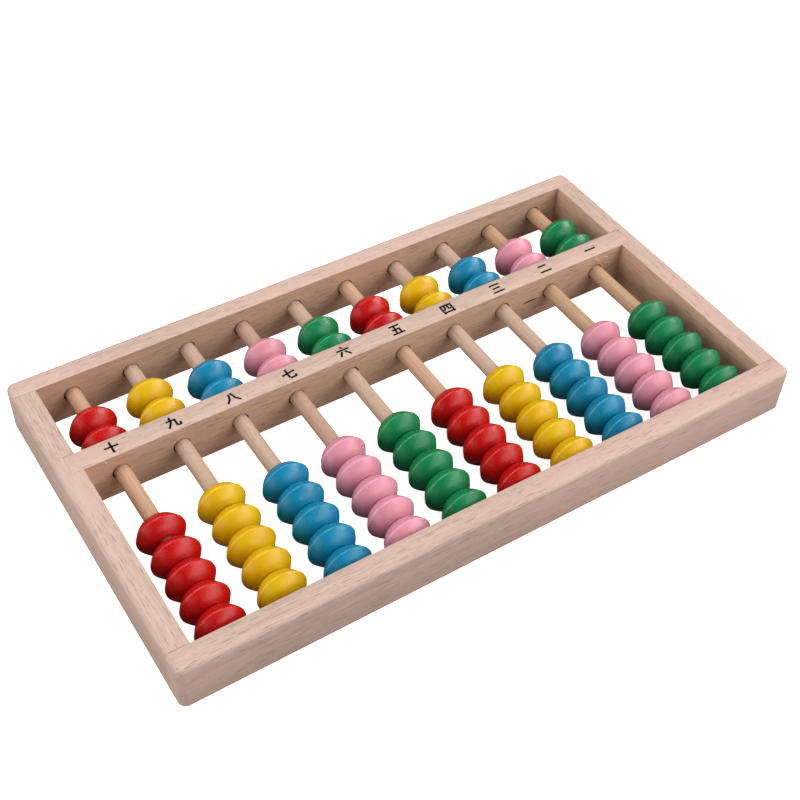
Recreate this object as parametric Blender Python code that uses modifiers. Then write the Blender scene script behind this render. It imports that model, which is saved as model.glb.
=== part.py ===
"""Wooden bead abacus: a beech frame with a divider beam, ten rods and seventy turned beads.

Metres, +Z up. The origin is the middle of the frame's underside, +X runs along the front rail
from the first column to the last, and +Y runs from the front rail to the back rail.
Each column holds two upper beads behind the beam and five lower beads in front of it. The four
lower beads nearest the front rail are turned as one stack, because they slide as a group.
"""

import math

import bmesh
import bpy

# Frame
FRAME_LENGTH = 0.300
FRAME_DEPTH = 0.168
FRAME_HEIGHT = 0.0234
LONG_RAIL_THICKNESS = 0.010
SIDE_RAIL_THICKNESS = 0.0104
BEAM_THICKNESS = 0.0102
BEAM_FRONT_Y = 0.0224
BEAM_HOUSING_DEPTH = 0.005
CORNER_RADIUS = 0.004
EDGE_RADIUS = 0.0022
ROUNDING_SEGMENTS = 3

# Rods
COLUMNS = 10
COLUMN_PITCH = 0.02766
ROD_RADIUS = 0.0036
ROD_HEIGHT = 0.0131
ROD_SOCKET_DEPTH = 0.006
HOLE_RADIUS = 0.0041
ROD_SIDES = 16

# Beads
BEAD_RADIUS = 0.0109
BEAD_PITCH = 0.0125
BEAD_SHOULDER_RADIUS = 0.0098
BEAD_SHOULDER_OFFSET = 0.0028
BEAD_HUB_RADIUS = 0.0062
BEAD_BORE_RADIUS = 0.0045
BEAD_DROP = 0.0006  # how far a bead's axis hangs below its rod's, as the loose bore rests on the rod
BEAD_SIDES = 12
STACK_BEADS = 4

# Space between pieces that touch
GAP = 0.0003

# Where a column's beads rest off their stops: how far the stack stands from the front rail,
# the lower first bead from the stack, the upper pair from the beam, and the pair from each other
STACK_LIFT = {1: 0.0010, 2: 0.0032, 9: 0.0005}
LOWER_SPACE = {1: 0.0016, 2: 0.0008}
UPPER_LIFT = {2: 0.0023}
UPPER_SPACE = {2: 0.0012}

BEECH = (0.62, 0.42, 0.31, 1.0)
ROD_WOOD = (0.66, 0.45, 0.28, 1.0)
BEAD_PAINTS = {
    "red": (0.60, 0.010, 0.012, 1.0),
    "yellow": (0.78, 0.50, 0.004, 1.0),
    "blue": (0.006, 0.20, 0.43, 1.0),
    "pink": (0.76, 0.22, 0.32, 1.0),
    "green": (0.006, 0.15, 0.035, 1.0),
}
COLUMN_PAINTS = ("red", "yellow", "blue", "pink", "green")

FRONT_INNER_Y = -FRAME_DEPTH / 2 + LONG_RAIL_THICKNESS
BACK_INNER_Y = FRAME_DEPTH / 2 - LONG_RAIL_THICKNESS
BEAM_BACK_Y = BEAM_FRONT_Y + BEAM_THICKNESS
BEAD_THICKNESS = BEAD_PITCH - GAP


def clear_scene():
    for thing in list(bpy.data.objects):
        bpy.data.objects.remove(thing, do_unlink=True)


def new_collection(name):
    collection = bpy.data.collections.new(name)
    bpy.context.scene.collection.children.link(collection)
    return collection


def make_material(name, color, roughness):
    material = bpy.data.materials.new(name)
    material.use_nodes = True
    shader = material.node_tree.nodes["Principled BSDF"]
    shader.inputs["Base Color"].default_value = color
    shader.inputs["Roughness"].default_value = roughness
    shader.inputs["Metallic"].default_value = 0.0
    material.diffuse_color = color
    return material


def add_object(name, mesh, collection, material=None, location=(0.0, 0.0, 0.0), rotation=(0.0, 0.0, 0.0)):
    thing = bpy.data.objects.new(name, mesh)
    thing.location = location
    thing.rotation_euler = rotation
    collection.objects.link(thing)
    if material is not None:
        mesh.materials.append(material)
    return thing


def box_bmesh(size):
    """A box of the given size, centred on its own origin."""
    bm = bmesh.new()
    bmesh.ops.create_cube(bm, size=1.0)
    bmesh.ops.scale(bm, vec=size, verts=bm.verts)
    return bm


def finish_mesh(name, bm):
    mesh = bpy.data.meshes.new(name)
    bm.to_mesh(mesh)
    bm.free()
    mesh.shade_smooth()
    mesh.set_sharp_from_angle(angle=math.radians(35))
    return mesh


def round_edges(bm, edges, radius):
    bmesh.ops.bevel(
        bm, geom=edges, offset=radius, offset_type="OFFSET", segments=ROUNDING_SEGMENTS,
        profile=0.5, affect="EDGES", clamp_overlap=True,
    )


def column_x(column):
    """The X of a column's rod; column 1 is at the left end."""
    return (column - (COLUMNS + 1) / 2) * COLUMN_PITCH


def cut(target, cutter, name):
    boolean = target.modifiers.new(name, "BOOLEAN")
    boolean.operation = "DIFFERENCE"
    boolean.solver = "EXACT"
    boolean.object = cutter


def hide_cutter(cutter):
    cutter.hide_render = True
    cutter.display_type = "WIRE"


def rod_hole_cutter(name, start_y, end_y, cutters):
    """Ten round cutters in one mesh, one on each rod's axis, from start_y to end_y."""
    bm = bmesh.new()
    for column in range(1, COLUMNS + 1):
        hole = bmesh.ops.create_cone(
            bm, cap_ends=True, segments=ROD_SIDES,
            radius1=HOLE_RADIUS, radius2=HOLE_RADIUS, depth=end_y - start_y,
        )
        bmesh.ops.translate(bm, verts=hole["verts"], vec=(column_x(column), 0.0, 0.0))
    mesh = bpy.data.meshes.new(name)
    bm.to_mesh(mesh)
    bm.free()
    # Each cone stands along local Z; the turn lays it along Y and leaves local X where it is.
    cutter = add_object(
        name, mesh, cutters, location=(0.0, (start_y + end_y) / 2, ROD_HEIGHT),
        rotation=(math.radians(-90), 0.0, 0.0),
    )
    hide_cutter(cutter)
    return cutter


def make_long_rail(name, side, parts, cutters, wood):
    """A full-length rail; side is -1 at the front and 1 at the back."""
    bm = box_bmesh((FRAME_LENGTH, LONG_RAIL_THICKNESS, FRAME_HEIGHT))
    outer_y = side * LONG_RAIL_THICKNESS / 2
    corners = [
        edge for edge in bm.edges
        if all(abs(vert.co.y - outer_y) < 1e-6 for vert in edge.verts)
        and abs(edge.verts[0].co.x - edge.verts[1].co.x) < 1e-6
    ]
    round_edges(bm, corners, CORNER_RADIUS)
    rims = [
        edge for edge in bm.edges
        if abs(edge.verts[0].co.z - edge.verts[1].co.z) < 1e-6
        and not all(abs(vert.co.y + outer_y) < 1e-6 for vert in edge.verts)
        and len({round(face.normal.z) for face in edge.link_faces}) > 1
    ]
    round_edges(bm, rims, EDGE_RADIUS)
    center_y = side * (FRAME_DEPTH - LONG_RAIL_THICKNESS) / 2
    rail = add_object(name, finish_mesh(name, bm), parts, wood, (0.0, center_y, FRAME_HEIGHT / 2))
    inner_y = side * (FRAME_DEPTH / 2 - LONG_RAIL_THICKNESS)
    socket_y = inner_y + side * ROD_SOCKET_DEPTH
    clear_y = inner_y - side * ROD_SOCKET_DEPTH
    cutter = rod_hole_cutter(name + "_holes", min(socket_y, clear_y), max(socket_y, clear_y), cutters)
    cut(rail, cutter, "rod sockets")


def make_side_rail(name, side, parts, cutters, wood):
    """A rail butted between the long rails; side is -1 at the left and 1 at the right."""
    length = BACK_INNER_Y - FRONT_INNER_Y - 2 * GAP
    bm = box_bmesh((SIDE_RAIL_THICKNESS, length, FRAME_HEIGHT))
    outer_x = side * SIDE_RAIL_THICKNESS / 2
    rims = [
        edge for edge in bm.edges
        if all(abs(vert.co.x - outer_x) < 1e-6 for vert in edge.verts)
        and abs(edge.verts[0].co.z - edge.verts[1].co.z) < 1e-6
    ]
    round_edges(bm, rims, EDGE_RADIUS)
    center_x = side * (FRAME_LENGTH - SIDE_RAIL_THICKNESS) / 2
    rail = add_object(name, finish_mesh(name, bm), parts, wood, (center_x, 0.0, FRAME_HEIGHT / 2))
    housing_depth = BEAM_HOUSING_DEPTH + GAP
    width = BEAM_THICKNESS + 2 * GAP
    bm = box_bmesh((2 * housing_depth, width, 2 * FRAME_HEIGHT))
    mesh = bpy.data.meshes.new(name + "_housing")
    bm.to_mesh(mesh)
    bm.free()
    inner_x = side * (FRAME_LENGTH / 2 - SIDE_RAIL_THICKNESS)
    middle_y = (BEAM_FRONT_Y + BEAM_BACK_Y) / 2
    cutter = add_object(name + "_housing", mesh, cutters, location=(inner_x, middle_y, FRAME_HEIGHT / 2))
    hide_cutter(cutter)
    cut(rail, cutter, "beam housing")


def make_beam(parts, cutters, wood):
    """The divider between the decks, let into a housing in each side rail."""
    length = FRAME_LENGTH - 2 * (SIDE_RAIL_THICKNESS - BEAM_HOUSING_DEPTH)
    bm = box_bmesh((length, BEAM_THICKNESS, FRAME_HEIGHT))
    middle_y = (BEAM_FRONT_Y + BEAM_BACK_Y) / 2
    location = (0.0, middle_y, FRAME_HEIGHT / 2)
    beam = add_object("divider_beam", finish_mesh("divider_beam", bm), parts, wood, location)
    start_y = BEAM_FRONT_Y - ROD_SOCKET_DEPTH
    end_y = BEAM_BACK_Y + ROD_SOCKET_DEPTH
    cutter = rod_hole_cutter("divider_beam_holes", start_y, end_y, cutters)
    cut(beam, cutter, "rod holes")


def make_rod(column, parts, wood):
    """One rod, from socket to socket and through the beam."""
    length = BACK_INNER_Y - FRONT_INNER_Y + 2 * (ROD_SOCKET_DEPTH - GAP)
    name = f"rod_{column:02d}"
    bm = bmesh.new()
    bmesh.ops.create_cone(
        bm, cap_ends=True, segments=ROD_SIDES, radius1=ROD_RADIUS, radius2=ROD_RADIUS, depth=length,
    )
    add_object(
        name, finish_mesh(name, bm), parts, wood,
        (column_x(column), 0.0, ROD_HEIGHT), (math.radians(-90), 0.0, 0.0),
    )


def bead_outline(count):
    """The closed outline (radius, height) of count beads in a row, down the outside and up the bore."""
    outline = []
    half = BEAD_THICKNESS / 2
    for bead in range(count):
        middle = ((count - 1) / 2 - bead) * BEAD_PITCH
        outline += [
            (BEAD_HUB_RADIUS, middle + half),
            (BEAD_SHOULDER_RADIUS, middle + BEAD_SHOULDER_OFFSET),
            (BEAD_RADIUS, middle),
            (BEAD_SHOULDER_RADIUS, middle - BEAD_SHOULDER_OFFSET),
            (BEAD_HUB_RADIUS, middle - half),
        ]
    end = (count - 1) / 2 * BEAD_PITCH + half
    outline += [(BEAD_BORE_RADIUS, -end), (BEAD_BORE_RADIUS, end)]
    return outline


def make_beads(name, column, middle_y, count, parts, paint):
    """One turned solid of count beads on a column's rod, with its origin on the beads' own axis."""
    outline = bead_outline(count)
    mesh = bpy.data.meshes.new(name)
    points = [(radius, 0.0, height) for radius, height in outline]
    edges = [(index, (index + 1) % len(points)) for index in range(len(points))]
    mesh.from_pydata(points, edges, [])
    turned = add_object(
        name, mesh, parts, paint,
        (column_x(column), middle_y, ROD_HEIGHT - BEAD_DROP), (math.radians(-90), 0.0, 0.0),
    )
    screw = turned.modifiers.new("turned", "SCREW")
    screw.axis = "Z"
    screw.angle = 2 * math.pi
    screw.steps = BEAD_SIDES
    screw.render_steps = BEAD_SIDES
    screw.use_merge_vertices = True
    screw.merge_threshold = 0.00001
    screw.use_smooth_shade = True


def make_column(column, parts, wood, paints):
    paint = paints[COLUMN_PAINTS[(column - 1) % len(COLUMN_PAINTS)]]
    make_rod(column, parts, wood)
    name = f"column_{column:02d}_"
    stack_length = STACK_BEADS * BEAD_PITCH - GAP
    stack_y = FRONT_INNER_Y + GAP + STACK_LIFT.get(column, 0.0) + stack_length / 2
    make_beads(name + "lower_beads_2_to_5", column, stack_y, STACK_BEADS, parts, paint)
    first_y = stack_y + stack_length / 2 + LOWER_SPACE.get(column, GAP) + BEAD_THICKNESS / 2
    make_beads(name + "lower_bead_1", column, first_y, 1, parts, paint)
    second_y = BEAM_BACK_Y + GAP + UPPER_LIFT.get(column, 0.0) + BEAD_THICKNESS / 2
    make_beads(name + "upper_bead_2", column, second_y, 1, parts, paint)
    outer_y = second_y + UPPER_SPACE.get(column, GAP) + BEAD_THICKNESS
    make_beads(name + "upper_bead_1", column, outer_y, 1, parts, paint)


def main():
    clear_scene()
    parts = new_collection("abacus")
    cutters = new_collection("cutters")
    beech = make_material("beech", BEECH, 0.6)
    rod_wood = make_material("rod_wood", ROD_WOOD, 0.55)
    paints = {name: make_material("paint_" + name, color, 0.4) for name, color in BEAD_PAINTS.items()}
    make_long_rail("front_rail", -1, parts, cutters, beech)
    make_long_rail("back_rail", 1, parts, cutters, beech)
    make_side_rail("left_rail", -1, parts, cutters, beech)
    make_side_rail("right_rail", 1, parts, cutters, beech)
    make_beam(parts, cutters, beech)
    for column in range(1, COLUMNS + 1):
        make_column(column, parts, rod_wood, paints)


main()
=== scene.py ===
"""Looks of the wooden bead abacus: beech frame, dowel rods, painted turned beads, studio stage."""

import math
import random

import bmesh
import bpy
from mathutils import Euler, Matrix, Vector


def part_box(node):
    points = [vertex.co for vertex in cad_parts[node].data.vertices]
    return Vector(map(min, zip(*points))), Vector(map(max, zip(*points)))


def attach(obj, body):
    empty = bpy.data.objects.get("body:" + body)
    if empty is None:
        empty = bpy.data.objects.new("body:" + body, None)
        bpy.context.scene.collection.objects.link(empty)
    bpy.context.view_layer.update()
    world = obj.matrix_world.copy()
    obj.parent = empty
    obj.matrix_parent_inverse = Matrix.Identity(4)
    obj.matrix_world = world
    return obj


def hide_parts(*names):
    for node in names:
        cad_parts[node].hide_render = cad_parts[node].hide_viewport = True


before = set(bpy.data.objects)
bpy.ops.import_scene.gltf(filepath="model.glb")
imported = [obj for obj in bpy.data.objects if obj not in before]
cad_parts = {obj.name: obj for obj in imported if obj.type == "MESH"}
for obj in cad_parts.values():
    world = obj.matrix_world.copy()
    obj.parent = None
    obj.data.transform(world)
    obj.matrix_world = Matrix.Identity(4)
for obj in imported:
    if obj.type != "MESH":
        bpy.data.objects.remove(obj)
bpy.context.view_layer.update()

MM = 0.001
COLUMNS = 10
COLUMN_COLORS = ("red", "yellow", "blue", "pink", "green")
SEED = 41


def rgba(red, green, blue):
    return (red, green, blue, 1.0)


def toned(color, red, green, blue):
    """A colour with its channels multiplied, none of them above 1."""
    return rgba(*(min(1.0, value * factor) for value, factor in zip(color, (red, green, blue))))


# ---------------------------------------------------------------- node helpers

class Nodes:
    """Short calls for building one material's node tree."""

    def __init__(self, name):
        self.material = bpy.data.materials.new(name)
        self.material.use_nodes = True
        self.tree = self.material.node_tree
        self.tree.nodes.clear()
        self.output = self.add("ShaderNodeOutputMaterial")
        self.shader = self.add("ShaderNodeBsdfPrincipled")
        self.link(self.shader.outputs["BSDF"], self.output.inputs["Surface"])

    def add(self, kind, **settings):
        node = self.tree.nodes.new(kind)
        for key, value in settings.items():
            setattr(node, key, value)
        return node

    def link(self, source, target):
        self.tree.links.new(source, target)

    def put(self, socket, value):
        """Links an output, or sets a plain value."""
        if isinstance(value, bpy.types.NodeSocket):
            self.link(value, socket)
        else:
            socket.default_value = value

    def coordinates(self, scale, offset=(0.0, 0.0, 0.0), source="Object"):
        mapping = self.add("ShaderNodeMapping")
        self.link(self.add("ShaderNodeTexCoord").outputs[source], mapping.inputs["Vector"])
        mapping.inputs["Location"].default_value = offset
        mapping.inputs["Scale"].default_value = scale
        return mapping.outputs["Vector"]

    def grain(self, axis, pattern, offset=(0.0, 0.0, 0.0)):
        """Coordinates that stretch a pattern along one axis, where 0 is X and 1 is Y."""
        along, across = pattern
        scale = [across, across, across]
        scale[axis] = along
        return self.coordinates(tuple(scale), offset)

    def noise(self, vector, detail=2.0, roughness=0.5, distortion=0.0):
        node = self.add("ShaderNodeTexNoise")
        self.link(vector, node.inputs["Vector"])
        node.inputs["Scale"].default_value = 1.0
        node.inputs["Detail"].default_value = detail
        node.inputs["Roughness"].default_value = roughness
        node.inputs["Distortion"].default_value = distortion
        return node.outputs["Fac"]

    def cells(self, vector):
        """Distance from the middle of the nearest cell."""
        node = self.add("ShaderNodeTexVoronoi")
        self.link(vector, node.inputs["Vector"])
        node.inputs["Scale"].default_value = 1.0
        return node.outputs["Distance"]

    def attribute(self, name):
        return self.add("ShaderNodeAttribute", attribute_name=name).outputs["Fac"]

    def span(self, value, low, high, to_low=0.0, to_high=1.0):
        """Maps low..high to to_low..to_high with a smooth step."""
        node = self.add("ShaderNodeMapRange", interpolation_type="SMOOTHSTEP")
        self.put(node.inputs["Value"], value)
        node.inputs["From Min"].default_value = low
        node.inputs["From Max"].default_value = high
        node.inputs["To Min"].default_value = to_low
        node.inputs["To Max"].default_value = to_high
        return node.outputs["Result"]

    def math(self, operation, first, second):
        node = self.add("ShaderNodeMath", operation=operation)
        self.put(node.inputs[0], first)
        self.put(node.inputs[1], second)
        return node.outputs["Value"]

    def mix(self, factor, first, second, blend="MIX"):
        node = self.add("ShaderNodeMix", data_type="RGBA", blend_type=blend)
        self.put(node.inputs["Factor"], factor)
        self.put(node.inputs["A"], first)
        self.put(node.inputs["B"], second)
        return node.outputs["Result"]

    def surface(self, color, roughness, specular):
        """Feeds the shader; a specular level is always a plain value."""
        self.put(self.shader.inputs["Base Color"], color)
        self.put(self.shader.inputs["Roughness"], roughness)
        self.shader.inputs["Specular IOR Level"].default_value = specular

    def bump(self, height, distance, strength):
        node = self.add("ShaderNodeBump")
        self.link(height, node.inputs["Height"])
        node.inputs["Distance"].default_value = distance
        node.inputs["Strength"].default_value = strength
        self.link(node.outputs["Normal"], self.shader.inputs["Normal"])


# ------------------------------------------------------------------------ wood

# Texture patterns, as their scale along the grain and their scale across it
BEECH_BANDS = (5.0, 160.0)
BEECH_LINES = (110.0, 1900.0)
BEECH_FLECKS = (75.0, 1250.0)
BEECH_PORES = (240.0, 1700.0)
BEECH_PATCHES = (40.0, 130.0)
BEECH_BLUSH = (14.0, 14.0)
DOWEL_STREAKS = (9.0, 900.0)
DOWEL_LINES = (70.0, 3600.0)
DOWEL_PORES = (220.0, 1700.0)

# Each wood as its light and its dark tone
BEECH = (rgba(0.545, 0.405, 0.338), rgba(0.410, 0.285, 0.225))
BEECH_FIBRE = (rgba(0.78, 0.62, 0.50), rgba(0.68, 0.52, 0.40))
PALE = (rgba(0.50, 0.355, 0.275), rgba(0.40, 0.265, 0.190))
ORANGE = (rgba(0.52, 0.325, 0.218), rgba(0.43, 0.245, 0.150))
TAN = (rgba(0.49, 0.310, 0.195), rgba(0.39, 0.230, 0.130))
ROSY = (rgba(0.46, 0.290, 0.215), rgba(0.37, 0.215, 0.150))

# The faces inside the frame get stronger flecks than those outside, and a warmer, darker tint that is
# painted shade for the occlusion and warm bounce in the openings
INNER_SHADE_TINT = rgba(1.0, 0.87, 0.73)
FLECKS_OUTSIDE = 0.64
FLECKS_INSIDE = 0.85
PORE_STRENGTH = 0.40
# Painted shade: a near-black colour on the walls of the rod holes and the slit, deepening the shade in these
# recesses
HOLE_SHADE_COLOR = rgba(0.05, 0.022, 0.012)
HOLE_SHADE_STRENGTH = 0.85
BEECH_RELIEF = 0.08 * MM
DOWEL_RELIEF = 0.05 * MM


def make_beech(name, axis, tones, shift=0.0):
    """Sanded beech: fine grain lines, soft growth bands and the short dark flecks of its rays."""
    light, dark = tones
    n = Nodes(name)
    offset = (shift, shift * 1.7, shift * 0.6)
    bands = n.noise(n.grain(axis, BEECH_BANDS, offset), detail=3.0, distortion=0.6)
    lines = n.noise(n.grain(axis, BEECH_LINES, offset), detail=4.0, roughness=0.65)
    blush = n.noise(n.grain(axis, BEECH_BLUSH, offset), detail=1.0)
    wide = n.cells(n.grain(axis, BEECH_FLECKS, offset))
    small = n.cells(n.grain(axis, BEECH_PORES, offset))
    patches = n.noise(n.grain(axis, BEECH_PATCHES, offset))
    inner = n.attribute("inner")

    tone = n.math("ADD", n.span(bands, 0.3, 0.7, 0.0, 0.38), n.span(lines, 0.38, 0.64, 0.0, 0.62))
    color = n.mix(tone, light, dark)
    color = n.mix(n.span(blush, 0.4, 0.65, 0.0, 0.6), color, toned(light, 1.03, 0.93, 0.94))

    # Flecks and pores come in patches
    flecks = n.math("MULTIPLY", n.span(wide, 0.14, 0.26, 1.0, 0.0), n.span(patches, 0.37, 0.50))
    pores = n.math("MULTIPLY", n.span(small, 0.12, 0.30, 1.0, 0.0), n.span(patches, 0.30, 0.55, 0.4, 1.0))
    fleck_color = toned(dark, 0.48, 0.36, 0.31)
    fleck_strength = n.span(inner, 0.0, 1.0, FLECKS_OUTSIDE, FLECKS_INSIDE)
    color = n.mix(n.math("MULTIPLY", flecks, fleck_strength), color, fleck_color)
    color = n.mix(n.math("MULTIPLY", pores, PORE_STRENGTH), color, fleck_color)

    # Painted shade: the inner faces are multiplied by a warmer, darker tint
    color = n.mix(inner, color, INNER_SHADE_TINT, "MULTIPLY")
    # Painted shade: the hole and slit walls are darkened towards near black
    color = n.mix(n.math("MULTIPLY", n.attribute("hole_shade"), HOLE_SHADE_STRENGTH), color, HOLE_SHADE_COLOR)
    n.surface(color, n.span(lines, 0.3, 0.7, 0.52, 0.68), 0.35)
    relief = n.math("SUBTRACT", lines, n.math("MULTIPLY", n.math("ADD", flecks, pores), 0.6))
    n.bump(relief, BEECH_RELIEF, 0.7)
    return n.material


def make_dowel(name, tones, shift):
    """A plain dowel: long streaks along the rod, a few pores, a slight polish from the beads."""
    light, dark = tones
    n = Nodes(name)
    offset = (shift, shift * 0.7, shift * 1.3)
    streaks = n.noise(n.grain(1, DOWEL_STREAKS, offset), detail=3.0, distortion=0.3)
    lines = n.noise(n.grain(1, DOWEL_LINES, offset))
    dots = n.span(n.cells(n.grain(1, DOWEL_PORES, offset)), 0.14, 0.30, 1.0, 0.0)
    tone = n.math("ADD", n.span(streaks, 0.3, 0.7, 0.0, 0.6), n.span(lines, 0.35, 0.7, 0.0, 0.4))
    color = n.mix(tone, light, dark)
    color = n.mix(n.math("MULTIPLY", dots, 0.55), color, toned(dark, 0.6, 0.5, 0.45))
    n.surface(color, n.span(streaks, 0.3, 0.7, 0.42, 0.58), 0.4)
    n.bump(lines, DOWEL_RELIEF, 0.5)
    return n.material


# --------------------------------------------------------------- paint and ink

PAINT_GRAIN = (90.0, 2300.0)
PAINT_CLOUD = (120.0, 120.0)
PAINT_RELIEF = 0.12 * MM
TURNING_SCALE = (3.0, 90.0, 1.0)
TURNING_STRENGTH = 0.14
# How much the rim's ridge is lightened: worn thin paint and a painted highlight
RIDGE_WEAR_AND_HIGHLIGHT = 0.32
INK_GRAIN = (300.0, 3000.0)

# Each paint as its colour, its deeper shade, and its light where the grain or wear thins it, which on the
# rim's ridge is also a painted highlight
PAINTS = {
    "red": (rgba(0.45, 0.003, 0.003), rgba(0.37, 0.001, 0.002), rgba(0.62, 0.035, 0.03)),
    "yellow": (rgba(0.61, 0.39, 0.001), rgba(0.58, 0.29, 0.0003), rgba(0.76, 0.53, 0.03)),
    "blue": (rgba(0.003, 0.195, 0.345), rgba(0.0015, 0.14, 0.255), rgba(0.05, 0.32, 0.50)),
    "pink": (rgba(0.63, 0.255, 0.32), rgba(0.55, 0.195, 0.25), rgba(0.74, 0.44, 0.49)),
    "green": (rgba(0.004, 0.185, 0.062), rgba(0.002, 0.13, 0.036), rgba(0.045, 0.34, 0.16)),
}


def make_paint(name, color, shade, glow):
    """Satin paint on turned wood: the grain shows through it, and the rim's ridge is lightened, partly as
    thin worn paint and partly as a painted highlight.
    """
    n = Nodes(name)
    grain = n.noise(n.grain(1, PAINT_GRAIN), detail=4.0, roughness=0.6, distortion=0.2)
    cloud = n.noise(n.grain(1, PAINT_CLOUD))
    turning = n.noise(n.coordinates(TURNING_SCALE, source="UV"))
    body = n.mix(n.span(cloud, 0.3, 0.7, 0.0, 0.7), color, shade)
    body = n.mix(n.span(grain, 0.50, 0.72, 0.0, 0.45), body, shade)
    body = n.mix(n.span(grain, 0.26, 0.42, 0.22, 0.0), body, glow)
    # Lightened ridge: partly worn thin paint, partly a painted highlight along the rim's crease
    wear_and_highlight = n.math("MULTIPLY", n.attribute("ridge"), n.span(grain, 0.25, 0.6, 0.35, 1.0))
    body = n.mix(n.math("MULTIPLY", wear_and_highlight, RIDGE_WEAR_AND_HIGHLIGHT), body, glow)
    n.surface(body, n.span(grain, 0.3, 0.7, 0.19, 0.36), 0.34)
    n.bump(n.math("ADD", grain, n.math("MULTIPLY", turning, TURNING_STRENGTH)), PAINT_RELIEF, 0.9)
    return n.material


def make_ink(name):
    """Printed black, slightly broken where the grain keeps it off the wood."""
    n = Nodes(name)
    grain = n.noise(n.grain(0, INK_GRAIN))
    color = n.mix(n.span(grain, 0.60, 0.78, 0.0, 0.4), rgba(0.003, 0.003, 0.003), rgba(0.025, 0.018, 0.016))
    n.surface(color, 0.7, 0.12)
    return n.material


# -------------------------------------------------------------------- geometry

SHARP_ANGLE = 40.0
# Places closer than this count as the same
NEAR = 1e-6


def add_piece(name, mesh, material, body, nodes):
    """Links a piece that rides a body, stands in for the CAD nodes and is painted as its slot."""
    piece = bpy.data.objects.new(name, mesh)
    bpy.context.scene.collection.objects.link(piece)
    mesh.materials.append(material)
    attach(piece, body)
    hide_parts(*nodes)


def smooth(mesh, sharp_angle):
    """Smooth shading that breaks at edges sharper than the angle."""
    mesh.shade_smooth()
    mesh.set_sharp_from_angle(angle=math.radians(sharp_angle))
    return mesh


def mesh_from(name, bm, sharp_angle=SHARP_ANGLE):
    mesh = bpy.data.meshes.new(name)
    bm.to_mesh(mesh)
    bm.free()
    return smooth(mesh, sharp_angle)


def box_between(low, high):
    bm = bmesh.new()
    bmesh.ops.create_cube(bm, size=1.0)
    place = Matrix.Translation((low + high) / 2) @ Matrix.Diagonal((*(high - low), 1.0))
    bmesh.ops.transform(bm, verts=bm.verts, matrix=place)
    return bm


def quads(loops):
    """The corners of each face between one loop of vertices and the next."""
    for first, second in zip(loops, loops[1:]):
        for side in range(len(first)):
            other = (side + 1) % len(first)
            yield first[side], first[other], second[other], second[side]


def close_ends(bm, loops):
    """Caps the first and the last loop, and turns all faces outwards."""
    bm.faces.new(loops[0])
    bm.faces.new(list(reversed(loops[-1])))
    bmesh.ops.recalc_face_normals(bm, faces=bm.faces)


def at(value, place):
    return abs(value - place) < NEAR


def bevel(bm, radius, segments, test):
    """Rounds the edges whose middle passes the test."""
    edges = [edge for edge in bm.edges if test((edge.verts[0].co + edge.verts[1].co) / 2)]
    bmesh.ops.bevel(
        bm, geom=edges, offset=radius, offset_type="OFFSET", segments=segments,
        profile=0.5, affect="EDGES", clamp_overlap=True,
    )


def cut(mesh, cutter_bm):
    """Takes the cutter's volume out of the mesh and returns the finished mesh."""
    cutter_mesh = bpy.data.meshes.new("cutter")
    cutter_bm.to_mesh(cutter_mesh)
    cutter_bm.free()
    target = bpy.data.objects.new("cut_target", mesh)
    cutter = bpy.data.objects.new("cutter", cutter_mesh)
    bpy.context.scene.collection.objects.link(target)
    bpy.context.scene.collection.objects.link(cutter)
    boolean = target.modifiers.new("cut", "BOOLEAN")
    boolean.operation = "DIFFERENCE"
    boolean.solver = "EXACT"
    boolean.object = cutter
    bpy.context.view_layer.update()
    done = bpy.data.meshes.new_from_object(target.evaluated_get(bpy.context.evaluated_depsgraph_get()))
    bpy.data.objects.remove(target)
    bpy.data.objects.remove(cutter)
    return smooth(done, SHARP_ANGLE)


def mark_faces(mesh, name, test):
    """Gives the mesh an attribute that is 1 on the faces that pass the test, and 0 elsewhere."""
    values = mesh.attributes.new(name, "FLOAT", "FACE").data
    for face in mesh.polygons:
        values[face.index].value = 1.0 if test(face) else 0.0


# -------------------------------------------------------------- rails and beam

CORNER_RADIUS = 3.6 * MM
EDGE_RADIUS = 2.2 * MM
FOOT_RADIUS = 0.7 * MM
ARRIS_RADIUS = 0.35 * MM
CORNER_STEPS = 8
EDGE_STEPS = 6
FOOT_STEPS = 3
ARRIS_STEPS = 2

HOLE_RADIUS = 4.0 * MM
HOLE_SIDES = 40
# A face counts as a hole's wall up to this multiple of the hole's radius
HOLE_SLACK = 1.02
SOCKET_DEPTH = 6.0 * MM
# How far a side rail reaches into each long rail, so that no gap shows between them
BUTT_OVERLAP = 0.18 * MM
HOUSING_GAP = 0.06 * MM
# How far the cutters stand out of the wood sideways, and above and below it
CUTTER_REACH = 4.0 * MM
CUTTER_RISE = 10.0 * MM
# A face's normal counts as along an axis above this, and as across it below the other
ALONG = 0.7
ACROSS = 0.5


def rod_centers():
    """Each rod's axis as its x and z, in column order."""
    centers = []
    for column in range(1, COLUMNS + 1):
        low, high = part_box(f"rod_{column:02d}")
        centers.append(((low.x + high.x) / 2, (low.z + high.z) / 2))
    return centers


def hole_cutter(start_y, end_y):
    """One cylinder around each rod's axis, from start_y to end_y."""
    bm = bmesh.new()
    for x, z in rod_centers():
        hole = bmesh.ops.create_cone(
            bm, cap_ends=True, segments=HOLE_SIDES, radius1=HOLE_RADIUS, radius2=HOLE_RADIUS,
            depth=end_y - start_y,
        )
        place = Matrix.Translation((x, (start_y + end_y) / 2, z)) @ Matrix.Rotation(math.radians(90), 4, "X")
        bmesh.ops.transform(bm, verts=hole["verts"], matrix=place)
    return bm


def in_hole(face, centers):
    """Whether the face is part of a rod hole's wall."""
    spot = face.center
    near = min(math.hypot(spot.x - x, spot.z - z) for x, z in centers)
    return abs(face.normal.y) < ACROSS and near < HOLE_RADIUS * HOLE_SLACK


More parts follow.
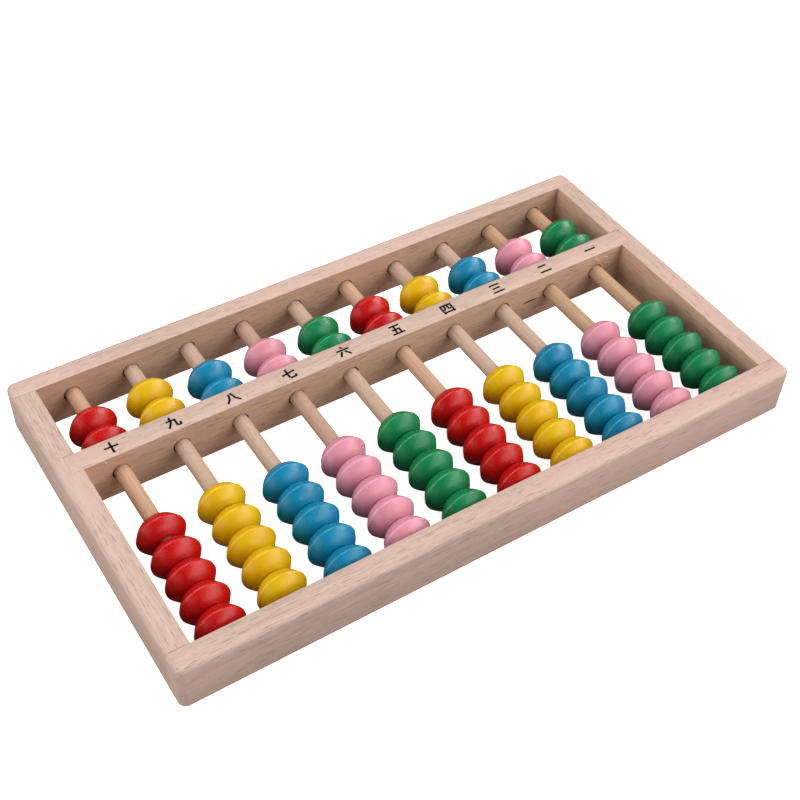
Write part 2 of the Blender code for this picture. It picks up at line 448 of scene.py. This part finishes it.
def make_long_rail(node, side, material):
    """A full-length rail; side is -1 for the front and 1 for the back."""
    low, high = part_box(node)
    bm = box_between(low, high)
    outer_y, inner_y = (low.y, high.y) if side < 0 else (high.y, low.y)
    bevel(bm, CORNER_RADIUS, CORNER_STEPS, lambda p: at(p.y, outer_y) and low.z + NEAR < p.z < high.z - NEAR)
    bevel(bm, EDGE_RADIUS, EDGE_STEPS, lambda p: at(p.z, high.z) and not at(p.y, inner_y))
    bevel(bm, FOOT_RADIUS, FOOT_STEPS, lambda p: at(p.z, low.z) and not at(p.y, inner_y))
    bevel(bm, ARRIS_RADIUS, ARRIS_STEPS, lambda p: at(p.y, inner_y) and at(p.x, 0.0))
    start, end = sorted((inner_y + side * SOCKET_DEPTH, inner_y - side * SOCKET_DEPTH))
    mesh = cut(mesh_from(node, bm), hole_cutter(start, end))
    centers = rod_centers()
    # Marks the hole walls for the painted shade
    mark_faces(mesh, "hole_shade", lambda face: in_hole(face, centers))
    mark_faces(mesh, "inner", lambda face: face.normal.y * side < -ALONG)
    add_piece(f"{node}_wood", mesh, material, "frame", [node])


def make_side_rail(node, side, material):
    """A rail butted between the long ones, with the housing for the beam's end; side is -1 for the left."""
    low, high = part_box(node)
    low = Vector((low.x, low.y - BUTT_OVERLAP, low.z))
    high = Vector((high.x, high.y + BUTT_OVERLAP, high.z))
    bm = box_between(low, high)
    outer_x, inner_x = (low.x, high.x) if side < 0 else (high.x, low.x)
    middle = (low.y + high.y) / 2
    bevel(bm, EDGE_RADIUS, EDGE_STEPS, lambda p: at(p.x, outer_x) and at(p.y, middle) and at(p.z, high.z))
    bevel(bm, FOOT_RADIUS, FOOT_STEPS, lambda p: at(p.x, outer_x) and at(p.y, middle) and at(p.z, low.z))
    bevel(bm, ARRIS_RADIUS, ARRIS_STEPS, lambda p: at(p.x, inner_x) and at(p.y, middle))
    beam_low, beam_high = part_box("divider_beam")
    beam_end = beam_low.x if side < 0 else beam_high.x
    start, end = sorted((beam_end + side * HOUSING_GAP, inner_x - side * CUTTER_REACH))
    housing = box_between(
        Vector((start, beam_low.y - HOUSING_GAP, low.z - CUTTER_RISE)),
        Vector((end, beam_high.y + HOUSING_GAP, high.z + CUTTER_RISE)),
    )
    mesh = cut(mesh_from(node, bm), housing)
    mark_faces(mesh, "inner", lambda face: face.normal.x * side < -ALONG)
    add_piece(f"{node}_wood", mesh, material, "frame", [node])


# A shake that opens the grain on the beam's front face, between the eighth and ninth rods
SLIT_X = 85.4 * MM
SLIT_LENGTH = 9.5 * MM
SLIT_WIDTH = 0.95 * MM
SLIT_DEPTH = 0.9 * MM
SLIT_SHARE_DOWN = 0.52
SLIT_STEPS = 8
SLIT_LEAD = 1.0 * MM
SLIT_LIP = 0.05 * MM
SLIT_FLOOR = 0.95 * MM


def slit_cutter(low, high):
    """A long lens that starts in front of the beam's front face and reaches SLIT_DEPTH into it."""
    bm = bmesh.new()
    center_z = high.z - (high.z - low.z) * SLIT_SHARE_DOWN
    outline = []
    for step in range(2 * SLIT_STEPS):
        u = 1.0 - abs(step / SLIT_STEPS - 1.0) * 2.0
        side = 1.0 if step < SLIT_STEPS else -1.0
        outline.append((u * SLIT_LENGTH / 2, side * (1.0 - u * u) * SLIT_WIDTH / 2))
    front = [bm.verts.new((SLIT_X + x, low.y - SLIT_LEAD, center_z + z)) for x, z in outline]
    deep = [bm.verts.new((SLIT_X + x, low.y + SLIT_DEPTH, center_z + z)) for x, z in outline]
    bm.faces.new(front)
    bm.faces.new(deep)
    for corners in quads((front, deep)):
        bm.faces.new(corners)
    bmesh.ops.recalc_face_normals(bm, faces=bm.faces)
    return bm


def in_slit(face, front_y):
    """Whether the face's middle is inside the slit, past its lip and not below its floor."""
    spot = face.center
    deep = spot.y - front_y
    return abs(spot.x - SLIT_X) < SLIT_LENGTH / 2 and SLIT_LIP < deep < SLIT_FLOOR


def make_beam(material):
    """The divider beam, with its ten through holes and the shake in its front face."""
    low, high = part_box("divider_beam")
    bm = box_between(low, high)
    bevel(bm, ARRIS_RADIUS, ARRIS_STEPS, lambda p: at(p.x, 0.0))
    mesh = cut(mesh_from("divider_beam", bm), hole_cutter(low.y - CUTTER_REACH, high.y + CUTTER_REACH))
    mesh = cut(mesh, slit_cutter(low, high))
    centers = rod_centers()
    # Marks the hole and slit walls for the painted shade
    mark_faces(mesh, "hole_shade", lambda face: in_hole(face, centers) or in_slit(face, low.y))
    mark_faces(mesh, "inner", lambda face: abs(face.normal.y) > ALONG)
    add_piece("divider_beam_wood", mesh, material, "frame", ["divider_beam"])


# Torn fibres on the beam's front face: rod they are near, then points from that rod's axis, in mm
SPLINTERS = (
    (10, ((2.2, 4.3), (1.2, 6.2), (-0.6, 7.9), (-2.6, 8.8))),
    (10, ((5.0, 3.4), (8.2, 2.2), (11.8, 1.6))),
    (10, ((4.6, 7.6), (6.0, 6.4), (7.4, 6.2))),
    (1, ((-6.2, 9.3), (-5.1, 7.3))),
)
SPLINTER_WIDTH = 0.42 * MM
SPLINTER_BOW = 0.10 * MM
SPLINTER_TIP = 0.12
SPLINTER_STEPS = 10


def make_splinters(material):
    """Thin fibres, pointed at both ends, that bow a little away from the beam."""
    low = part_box("divider_beam")[0]
    centers = rod_centers()
    bm = bmesh.new()
    for column, points in SPLINTERS:
        x, z = centers[column - 1]
        path = [Vector((x + u * MM, z + v * MM)) for u, v in points]
        loops = []
        for step in range(SPLINTER_STEPS + 1):
            t = step / SPLINTER_STEPS
            share = t * (len(path) - 1)
            index = min(int(share), len(path) - 2)
            spot = path[index].lerp(path[index + 1], share - index)
            along = (path[index + 1] - path[index]).normalized()
            swell = math.sin(math.pi * t)
            half = SPLINTER_WIDTH / 2 * (SPLINTER_TIP + (1.0 - SPLINTER_TIP) * swell)
            y = low.y - SPLINTER_BOW * swell
            across = Vector((-along.y, along.x)) * half
            loops.append([
                bm.verts.new((spot.x + across.x, y, spot.y + across.y)),
                bm.verts.new((spot.x, y - half, spot.y)),
                bm.verts.new((spot.x - across.x, y, spot.y - across.y)),
                bm.verts.new((spot.x, y + half, spot.y)),
            ])
        for corners in quads(loops):
            bm.faces.new(corners)
        close_ends(bm, loops)
    add_piece("beam_splinters", mesh_from("beam_splinters", bm), material, "frame", [])


# ------------------------------------------------------------------------ rods

# In column order: each rod's wood, and how far it sits off the middle of its holes, in mm
ROD_TONES = (ORANGE, PALE, PALE, ROSY, PALE, ORANGE, PALE, PALE, TAN, TAN)
ROD_SHIFTS = (0.30, 0.22, -0.08, 0.25, -0.20, 0.08, 0.30, 0.0, 0.30, 0.08)
ROD_SHIFT_SPREAD = 0.03
ROD_DROPS = (-0.20, -0.08)
ROD_SIDES = 40
ROD_RINGS = 33
ROD_SOFT_END = 0.6 * MM
ROD_SOFT_SLOPE = 0.6
ROD_SWELL = 0.006
ROD_SWELL_RATE = 9.0
ROD_RIPPLE = 0.004
ROD_RIPPLE_RATE = 23.0
# Keeps the widest swell inside the rod's CAD radius
ROD_FIT = 0.988


def make_rod(column, material, rng):
    """A dowel with a little unevenness along its length and softened ends."""
    node = f"rod_{column:02d}"
    low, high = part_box(node)
    shift = ROD_SHIFTS[column - 1] + rng.uniform(-ROD_SHIFT_SPREAD, ROD_SHIFT_SPREAD)
    center = (low + high) / 2 + Vector((shift, 0.0, rng.uniform(*ROD_DROPS))) * MM
    radius = (high.x - low.x) / 2
    length = high.y - low.y
    bm = bmesh.new()
    phase = rng.uniform(0.0, math.tau)
    loops = []
    for ring in range(ROD_RINGS):
        t = ring / (ROD_RINGS - 1)
        end = min(t, 1.0 - t) * length
        chamfer = max(0.0, ROD_SOFT_END - end) * ROD_SOFT_SLOPE
        swell = ROD_SWELL * math.sin(phase + t * ROD_SWELL_RATE)
        wave = 1.0 + swell + ROD_RIPPLE * math.sin(phase * 2 + t * ROD_RIPPLE_RATE)
        loop = []
        for side in range(ROD_SIDES):
            a = math.tau * side / ROD_SIDES
            oval = 1.0 + ROD_SWELL * math.cos(2 * a + phase)
            r = (radius - chamfer) * wave * oval * ROD_FIT
            spot = (center.x + r * math.cos(a), low.y + t * length, center.z + r * math.sin(a))
            loop.append(bm.verts.new(spot))
        loops.append(loop)
    for a, b, c, d in quads(loops):
        bm.faces.new((a, d, c, b))
    close_ends(bm, loops)
    add_piece(f"{node}_dowel", mesh_from(node, bm), material, "frame", [node])


# ----------------------------------------------------------------------- beads

BEAD_RIM_HALF = 0.40 * MM
BEAD_HUB_RADIUS = 6.2 * MM
BEAD_BORE_RADIUS = 4.45 * MM
BEAD_SIDES = 64
STACKED = 4
BEAD_SHARP_ANGLE = 28.0
# How far the ridge falls to its edge, and how far below and beyond that edge the cone starts
RIDGE_FALL = 0.03 * MM
CONE_DROP = 0.12 * MM
CONE_SETBACK = 0.16 * MM
CONE_STEPS = 10
CONE_ROUNDING = 4
# The hub's edge as distances in from the bead's end and down from the hub's radius
HUB_GROOVE = 0.45 * MM
HUB_ROUND = (0.15 * MM, 0.35 * MM)
HUB_FACE_DROP = 0.85 * MM
BORE_CHAMFER = 0.25 * MM

# What differs from bead to bead: share of the size, of the rim and of the cone that is straight,
# lean in mm, tilt in degrees; and the share by which every bead is out of round
BEAD_SIZES = (0.988, 1.0)
BEAD_RIMS = (0.7, 1.2)
BEAD_STRAIGHTS = (0.60, 0.70)
BEAD_LEAN = 0.15
BEAD_TILT = 0.8
BEAD_OVAL = 0.005


def bead_profile(radius, half, rim_half, straight):
    """Half outline (distance from the middle, radius, ridge weight) from the rim's middle to the bore.

    The cone falls evenly from the rim and rounds over towards the hub; straight is its even share.
    """
    shoulder = radius - CONE_DROP
    start = rim_half + CONE_SETBACK
    end = half - HUB_GROOVE
    points = [(0.0, radius, 1.0), (rim_half, radius - RIDGE_FALL, 1.0)]
    for step in range(CONE_STEPS + 1):
        s = step / CONE_STEPS
        fall = straight * s + (1.0 - straight) * s ** CONE_ROUNDING
        points.append((start + (end - start) * s, shoulder - (shoulder - BEAD_HUB_RADIUS) * fall, 0.0))
    points += [
        (half - HUB_ROUND[0], BEAD_HUB_RADIUS - HUB_ROUND[1], 0.0),
        (half, BEAD_HUB_RADIUS - HUB_FACE_DROP, 0.0),
        (half, BEAD_BORE_RADIUS + BORE_CHAMFER, 0.0),
        (half - BORE_CHAMFER, BEAD_BORE_RADIUS, 0.0),
    ]
    return points


def make_bead(name, node, center, radius, half, material, rng):
    """One turned bead with its own small faults: size, rim width, cone, lean, tilt and oval."""
    radius = radius * rng.uniform(*BEAD_SIZES)
    rim_half = BEAD_RIM_HALF * rng.uniform(*BEAD_RIMS)
    straight = rng.uniform(*BEAD_STRAIGHTS)
    lean = rng.uniform(-BEAD_LEAN, BEAD_LEAN) * MM
    tilt_x, tilt_z = (math.radians(rng.uniform(-BEAD_TILT, BEAD_TILT)) for _ in range(2))
    tilt = Euler((tilt_x, 0.0, tilt_z)).to_matrix()
    oval_phase = rng.uniform(0.0, math.tau)
    outline = bead_profile(radius, half, rim_half, straight)
    ring = outline[::-1] + [(-y, r, w) for y, r, w in outline[1:]]
    bm = bmesh.new()
    uv = bm.loops.layers.uv.new("turned")
    ridge = bm.verts.layers.float.new("ridge")
    loops = []
    for y, r, weight in ring:
        outer = max(0.0, (r - BEAD_HUB_RADIUS) / (radius - BEAD_HUB_RADIUS))
        loop = []
        for side in range(BEAD_SIDES):
            a = math.tau * side / BEAD_SIDES
            reach = r * (1.0 + BEAD_OVAL * outer * math.cos(2 * a + oval_phase))
            spot = tilt @ Vector((reach * math.cos(a), y + lean * outer, reach * math.sin(a)))
            vert = bm.verts.new(center + spot)
            vert[ridge] = weight
            loop.append(vert)
        loops.append(loop)
    for number, quad in enumerate(quads(loops + loops[:1])):
        index, side = divmod(number, BEAD_SIDES)
        face = bm.faces.new(quad)
        corners = ((side, index), (side + 1, index), (side + 1, index + 1), (side, index + 1))
        for corner, (u, v) in zip(face.loops, corners):
            corner[uv].uv = (u / BEAD_SIDES, v / len(loops))
    bmesh.ops.recalc_face_normals(bm, faces=bm.faces)
    add_piece(name, mesh_from(name, bm, BEAD_SHARP_ANGLE), material, node, [node])


def make_column(column, materials, rng):
    """The column's seven beads: three with a body each, and the four that slide as one stack."""
    color = COLUMN_COLORS[(column - 1) % len(COLUMN_COLORS)]
    prefix = f"column_{column:02d}_"
    for label in ("upper_bead_1", "upper_bead_2", "lower_bead_1"):
        node = prefix + label
        low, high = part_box(node)
        make_bead(
            f"{node}_turned", node, (low + high) / 2, (high.z - low.z) / 2, (high.y - low.y) / 2,
            materials[color], rng,
        )
    node = prefix + "lower_beads_2_to_5"
    low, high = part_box(node)
    single_low, single_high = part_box(prefix + "lower_bead_1")
    thickness = single_high.y - single_low.y
    pitch = (high.y - low.y - thickness) / (STACKED - 1)
    for index in range(STACKED):
        middle = Vector(((low.x + high.x) / 2, high.y - thickness / 2 - index * pitch, (low.z + high.z) / 2))
        make_bead(
            f"{prefix}lower_bead_{index + 2}_turned", node, middle, (high.z - low.z) / 2, thickness / 2,
            materials[color], rng,
        )


# ----------------------------------------------------------------------- marks

# Strokes of the numerals one to ten, each a chain of points in a box from (0, 0) to (1, 1)
NUMERALS = (
    (((0.0, 0.50), (1.0, 0.50)),),
    (((0.16, 0.82), (0.84, 0.82)), ((0.0, 0.16), (1.0, 0.16))),
    (((0.08, 0.90), (0.92, 0.90)), ((0.18, 0.50), (0.82, 0.50)), ((0.0, 0.08), (1.0, 0.08))),
    (
        ((0.06, 0.02), (0.06, 0.86), (0.94, 0.86), (0.94, 0.02)), ((0.06, 0.12), (0.94, 0.12)),
        ((0.38, 0.86), (0.36, 0.56), (0.22, 0.38)), ((0.62, 0.86), (0.62, 0.46), (0.80, 0.42)),
    ),
    (
        ((0.08, 0.92), (0.90, 0.92)), ((0.46, 0.92), (0.34, 0.06)),
        ((0.14, 0.52), (0.76, 0.52), (0.74, 0.06)), ((0.0, 0.06), (1.0, 0.06)),
    ),
    (
        ((0.44, 1.0), (0.54, 0.86)), ((0.0, 0.66), (1.0, 0.66)),
        ((0.34, 0.48), (0.08, 0.04)), ((0.62, 0.48), (0.92, 0.04)),
    ),
    (((0.0, 0.52), (1.0, 0.68)), ((0.42, 1.0), (0.42, 0.20), (0.54, 0.08), (0.92, 0.08), (0.96, 0.28))),
    (((0.38, 0.86), (0.28, 0.42), (0.0, 0.06)), ((0.56, 0.92), (0.70, 0.42), (1.0, 0.06))),
    (
        ((0.06, 0.68), (0.68, 0.68), (0.68, 0.16), (0.78, 0.06), (0.96, 0.08), (0.98, 0.28)),
        ((0.38, 1.0), (0.34, 0.50), (0.04, 0.04)),
    ),
    (((0.0, 0.56), (1.0, 0.56)), ((0.50, 1.0), (0.50, 0.0))),
)
MARK_SIZE = Vector((5.9 * MM, 5.9 * MM))
# How far each mark sits to the left of its rod
MARK_SHIFT = 0.8 * MM
MARK_STROKE = 0.98 * MM
# Share of the stroke's width by which its ends run past their points
MARK_OVERRUN = 0.25
# Keeps the mitre at a tight bend from growing long
MITRE_FLOOR = 0.5
INK_THICKNESS = 0.02 * MM


def add_stroke(bm, points, top, bottom):
    """A flat band of ink along a chain of points, mitred at its bends."""
    left, right = [], []
    for index, point in enumerate(points):
        before = (point - points[index - 1]).normalized() if index else None
        after = (points[index + 1] - point).normalized() if index + 1 < len(points) else None
        first, second = before or after, after or before
        middle = (first + second).normalized()
        across = Vector((-middle.y, middle.x)) * MARK_STROKE / 2 / max(MITRE_FLOOR, middle.dot(first))
        reach = middle * MARK_STROKE * MARK_OVERRUN * ((after is None) - (before is None))
        left.append(point + reach + across)
        right.append(point + reach - across)
    rows = [
        [bm.verts.new((p.x, p.y, z)) for p in side]
        for side, z in ((left, top), (right, top), (right, bottom), (left, bottom))
    ]
    for row, other in zip(rows, rows[1:] + rows[:1]):
        for corners in zip(row, other, other[1:], row[1:]):
            bm.faces.new(corners)
    for end in (0, -1):
        bm.faces.new([row[end] for row in rows])


def make_marks(material):
    """Plain column numbers on the beam: one at the right end to ten at the left."""
    low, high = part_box("divider_beam")
    for column, (x, _) in enumerate(rod_centers(), start=1):
        number = COLUMNS + 1 - column
        corner = Vector((x - MARK_SHIFT, (low.y + high.y) / 2)) - MARK_SIZE / 2
        bm = bmesh.new()
        for stroke in NUMERALS[number - 1]:
            points = [corner + Vector((u * MARK_SIZE.x, v * MARK_SIZE.y)) for u, v in stroke]
            add_stroke(bm, points, high.z + INK_THICKNESS, high.z - INK_THICKNESS)
        bmesh.ops.recalc_face_normals(bm, faces=bm.faces)
        name = f"column_number_{number:02d}"
        add_piece(name, mesh_from(name, bm), material, "frame", [])


# ------------------------------------------------------------ stage and camera

CAMERA_PLACE = (-0.2288, -0.3332, 0.4335)
CAMERA_ANGLES = (43.568, -1.745, -32.411)
CAMERA_LENS = 59.52
CAMERA_SENSOR = 36.0

WHITE = rgba(1.0, 1.0, 1.0)
WORLD_LIGHT = 0.04
# Area lights turned to the abacus's middle: place, width and height in metres, watts
LIGHTS = {
    "overhead": ((-0.12, 0.34, 1.05), (0.8, 0.6), 7.7),
    "right": ((1.50, -0.14, 1.05), (0.40, 0.55), 14.5),
    "front_right": ((0.9, -1.2, 0.98), (2.4, 1.5), 33.0),
    "left": ((-1.25, 0.15, 0.52), (1.6, 1.0), 14.5),
}

FLOOR_HALF_SIZE = 20.0
FLOOR_SEEN = rgba(0.93, 0.93, 0.93)
FLOOR_BOUNCE = rgba(0.50, 0.48, 0.46)
FLOOR_REFLECTED = rgba(0.12, 0.12, 0.12)
FLOOR_GLOW = 0.92


def make_camera():
    data = bpy.data.cameras.new("camera")
    data.lens = CAMERA_LENS
    data.sensor_width = CAMERA_SENSOR
    data.clip_start = 0.01
    camera = bpy.data.objects.new("camera", data)
    camera.location = CAMERA_PLACE
    camera.rotation_euler = [math.radians(angle) for angle in CAMERA_ANGLES]
    bpy.context.scene.collection.objects.link(camera)
    bpy.context.scene.camera = camera
    bpy.context.scene.view_settings.view_transform = "Standard"


def make_floor_material():
    """Seamless white paper: bright where it is looked at, with a soft bounce onto the object."""
    n = Nodes("floor_white")
    path = n.add("ShaderNodeLightPath")
    seen = path.outputs["Is Camera Ray"]
    bounce = n.mix(path.outputs["Is Glossy Ray"], FLOOR_BOUNCE, FLOOR_REFLECTED)
    n.put(n.shader.inputs["Base Color"], n.mix(seen, bounce, FLOOR_SEEN))
    n.shader.inputs["Roughness"].default_value = 0.9
    n.shader.inputs["Emission Color"].default_value = WHITE
    n.put(n.shader.inputs["Emission Strength"], n.math("MULTIPLY", seen, FLOOR_GLOW))
    return n.material


def make_floor():
    bm = bmesh.new()
    bmesh.ops.create_grid(bm, x_segments=1, y_segments=1, size=FLOOR_HALF_SIZE)
    mesh = bpy.data.meshes.new("floor")
    bm.to_mesh(mesh)
    bm.free()
    floor = bpy.data.objects.new("floor", mesh)
    bpy.context.scene.collection.objects.link(floor)
    mesh.materials.append(make_floor_material())


def make_lights():
    world = bpy.data.worlds.new("studio")
    bpy.context.scene.world = world
    world.use_nodes = True
    background = world.node_tree.nodes["Background"]
    background.inputs["Color"].default_value = WHITE
    background.inputs["Strength"].default_value = WORLD_LIGHT
    for name, (place, size, watts) in LIGHTS.items():
        data = bpy.data.lights.new(name, "AREA")
        data.shape = "RECTANGLE"
        data.size, data.size_y = size
        data.energy = watts
        light = bpy.data.objects.new(name, data)
        light.location = place
        light.rotation_euler = (-Vector(place)).to_track_quat("-Z", "Y").to_euler()
        bpy.context.scene.collection.objects.link(light)


# ------------------------------------------------------------------------ main

# How far each wood's pattern is shifted, so that no two woods share their figure
SIDE_SHIFT = 0.37
FIBRE_SHIFT = 0.81
ROD_SHIFT_STEP = 0.21


def build():
    rng = random.Random(SEED)
    beech_x = make_beech("beech_along_x", 0, BEECH)
    beech_y = make_beech("beech_along_y", 1, BEECH, SIDE_SHIFT)
    paints = {color: make_paint(f"paint_{color}", *tones) for color, tones in PAINTS.items()}
    make_long_rail("front_rail", -1, beech_x)
    make_long_rail("back_rail", 1, beech_x)
    make_side_rail("left_rail", -1, beech_y)
    make_side_rail("right_rail", 1, beech_y)
    make_beam(beech_x)
    make_splinters(make_beech("beech_fibre", 0, BEECH_FIBRE, FIBRE_SHIFT))
    make_marks(make_ink("ink"))
    for column in range(1, COLUMNS + 1):
        dowel = make_dowel(f"dowel_{column:02d}", ROD_TONES[column - 1], ROD_SHIFT_STEP * column)
        make_rod(column, dowel, rng)
        make_column(column, paints, rng)


make_camera()
make_floor()
make_lights()
build()
